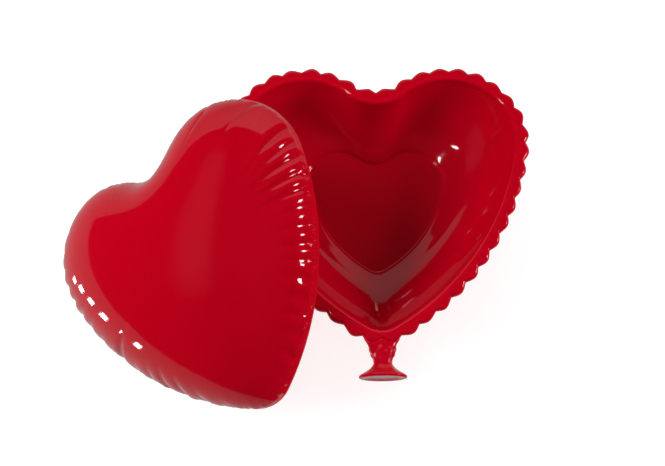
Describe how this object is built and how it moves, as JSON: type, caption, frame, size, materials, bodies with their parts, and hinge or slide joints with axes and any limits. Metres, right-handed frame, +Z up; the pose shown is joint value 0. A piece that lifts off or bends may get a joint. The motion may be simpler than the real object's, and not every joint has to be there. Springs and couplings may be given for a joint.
{
  "type": "music box",
  "caption": "Heart-shaped glazed ceramic music box like a foil balloon: scalloped dish with a flared neck, puffed lid resting against it, wind-up movement and key under the floor.",
  "frame": {"origin": "on the table, under the centroid of the dish's heart, in the plane of the foot", "axes": "+Z up; +Y towards the heart's notch, so the tip and the neck point along -Y; +X to the right when seen from the neck's end"},
  "size_m": [0.3563, 0.2594, 0.135],
  "materials": {
    "glaze_red": "deep red high-gloss glaze",
    "glaze_red_lid": "deep red high-gloss glaze",
    "glaze_red_tail": "deep red high-gloss glaze",
    "cover_plastic": "fine moulded texture",
    "screw_steel": "zinc plated",
    "insert_brass": "turned",
    "zinc": "die-cast, lightly tumbled",
    "plated_steel": "pressed and nickel plated",
    "comb_steel": "ground",
    "arbor_steel": "turned",
    "spring_steel": "blued",
    "key_metal": "nickel plated",
    "drum_metal": "pressed and nickel plated",
    "cylinder_brass": "turned and lacquered",
    "pin_steel": "ground",
    "gear_brass": "cut",
    "gear_nylon": "moulded",
    "fan_plastic": "moulded"
  },
  "bodies": {
    "dish": {"base_bowl": "glaze_red", "balloon_tail": "glaze_red_tail", "bottom_cover": "cover_plastic", "cover_screws": "screw_steel", "threaded_inserts": "insert_brass", "bedplate": "zinc", "bedplate_screws": "screw_steel", "barrel_bridge": "plated_steel", "cylinder_bracket": "plated_steel", "governor_frame": "plated_steel", "frame_screws": "screw_steel", "comb": "comb_steel", "comb_screws": "screw_steel"},
    "lid": {"lid_shell": "glaze_red_lid"},
    "winder": {"winding_arbor": "arbor_steel", "arbor_clip": "spring_steel", "winding_key": "key_metal"},
    "barrel": {"barrel_drum": "drum_metal", "barrel_cap": "drum_metal", "mainspring": "spring_steel"},
    "cylinder": {"cylinder_sleeve": "cylinder_brass", "cylinder_ends": "cylinder_brass", "cylinder_pins": "pin_steel", "cylinder_spindle": "arbor_steel", "cylinder_pinion": "gear_brass", "cylinder_wheel": "gear_brass"},
    "second": {"second_arbor": "arbor_steel", "second_leaf": "gear_brass", "worm_wheel": "gear_nylon"},
    "governor": {"worm_shaft": "arbor_steel", "fan": "fan_plastic"}
  },
  "joints": [
    {"name": "lid_lift", "type": "slide", "parent": "dish", "child": "lid", "axis": [0, 0, 1], "range_m": [0, 0.12]},
    {"name": "key_turn", "type": "hinge", "parent": "dish", "child": "winder", "pos_m": [-0.015, 0.005, 0.014], "axis": [0, 0, 1], "continuous": true},
    {"name": "cylinder_spin", "type": "hinge", "parent": "dish", "child": "cylinder", "pos_m": [0.0122, 0.005, 0.02212], "axis": [1, 0, 0], "continuous": true},
    {"name": "barrel_spin", "type": "hinge", "parent": "dish", "child": "barrel", "pos_m": [-0.015, 0.005, 0.018], "axis": [0, 0, 1], "continuous": true},
    {"name": "second_spin", "type": "hinge", "parent": "dish", "child": "second", "pos_m": [0.0267, 0.0134, 0.02212], "axis": [1, 0, 0], "continuous": true},
    {"name": "governor_spin", "type": "hinge", "parent": "dish", "child": "governor", "pos_m": [0.0271, 0.01855, 0.02212], "axis": [0, 0, 1], "continuous": true}
  ],
  "couplings": [
    {"joint": "barrel_spin", "follows": "cylinder_spin", "ratio": 0.4},
    {"joint": "second_spin", "follows": "cylinder_spin", "ratio": -3},
    {"joint": "governor_spin", "follows": "cylinder_spin", "ratio": 45}
  ]
}
